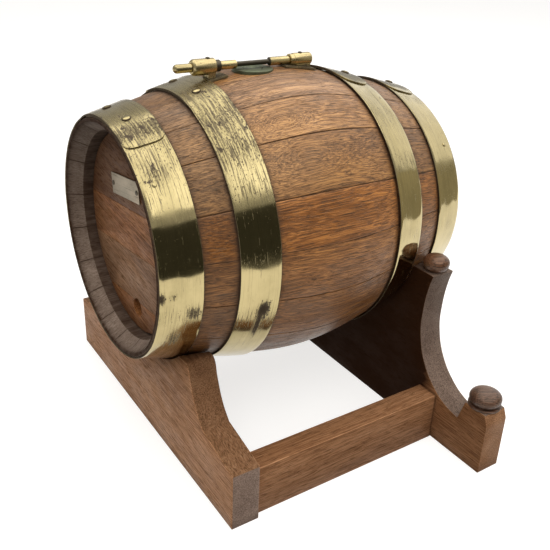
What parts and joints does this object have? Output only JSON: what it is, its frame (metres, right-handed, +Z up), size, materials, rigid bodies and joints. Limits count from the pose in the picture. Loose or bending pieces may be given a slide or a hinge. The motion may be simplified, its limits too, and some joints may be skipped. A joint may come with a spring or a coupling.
{
  "type": "wine barrel on a cradle stand",
  "caption": "Oak wine barrel with brass hoops and a brass locking bar over its bung, lying in a wooden cradle stand with turned knobs.",
  "frame": {"origin": "on the floor, below the middle of the barrel and of the stand", "axes": "+Z up, +X along the barrel from the head with the tap hole to the other head, +Y across the stand"},
  "size_m": [0.362, 0.52, 0.4013],
  "materials": {
    "oak_staves": "oiled oak, orange-brown, open grain running along the staves",
    "oak_heads": "darker aged oak",
    "stand_boards": "stained oak, grey-brown on the faces and darker on the sweeps",
    "stand_rails": "stained oak",
    "knobs": "dark turned oak, waxed",
    "hoops": "polished brass with dark pits and scratches round the barrel",
    "rivets": "polished brass",
    "screws": "dark brass",
    "name_plate": "dull dark brass, blank",
    "bosses": "polished brass, dark in the corners",
    "bar": "polished brass, its waist nearly black",
    "collar": "nearly black brass",
    "bung_plate": "green-grey tarnished brass",
    "bung": "green-grey tarnished brass"
  },
  "bodies": {
    "stand": {"back_board": "stand_boards", "far_foot_knob": "knobs", "far_horn_knob": "knobs", "far_rail": "stand_rails", "front_board": "stand_boards", "near_foot_knob": "knobs", "near_horn_knob": "knobs", "near_rail": "stand_rails"},
    "barrel": {"back_boss": "bosses", "back_boss_set_screw": "screws", "back_head_board_1": "oak_heads", "back_head_board_2": "oak_heads", "back_head_board_3": "oak_heads", "back_head_board_4": "oak_heads", "back_head_rivet_1": "rivets", "back_head_rivet_2": "rivets", "back_hoop_tack": "rivets", "back_quarter_rivet_1": "rivets", "back_quarter_rivet_2": "rivets", "bar_collar": "collar", "bung_plate": "bung_plate", "front_boss": "bosses", "front_boss_set_screw": "screws", "front_head_board_1": "oak_heads", "front_head_board_2": "oak_heads", "front_head_board_3": "oak_heads", "front_head_board_4": "oak_heads", "front_head_rivet_1": "rivets", "front_head_rivet_2": "rivets", "front_hoop_tack": "rivets", "front_quarter_rivet_1": "rivets", "front_quarter_rivet_2": "rivets", "head_hoop_back": "hoops", "head_hoop_front": "hoops", "name_plate": "name_plate", "name_plate_screw_1": "screws", "name_plate_screw_2": "screws", "quarter_hoop_back": "hoops", "quarter_hoop_front": "hoops", "stave_01": "oak_staves", "stave_02": "oak_staves", "stave_03": "oak_staves", "stave_04": "oak_staves", "stave_05": "oak_staves", "stave_06": "oak_staves", "stave_07": "oak_staves", "stave_08": "oak_staves", "stave_09": "oak_staves", "stave_10": "oak_staves", "stave_11": "oak_staves", "stave_12": "oak_staves", "stave_13": "oak_staves", "stave_14": "oak_staves", "stave_15": "oak_staves", "stave_16": "oak_staves", "stave_17": "oak_staves", "stave_18": "oak_staves", "stave_19": "oak_staves"},
    "bar": {"locking_bar": "bar"},
    "bung": {"bung": "bung"}
  },
  "joints": [
    {"name": "barrel_lift", "type": "slide", "parent": "stand", "child": "barrel", "axis": [0, 0, 1], "range_m": [0, 0.16]},
    {"name": "bar_draw", "type": "slide", "parent": "barrel", "child": "bar", "axis": [-1, 0, 0], "range_m": [0, 0.086]},
    {"name": "bung_lift", "type": "slide", "parent": "barrel", "child": "bung", "axis": [0, 0, 1], "range_m": [0, 0.0018]}
  ]
}
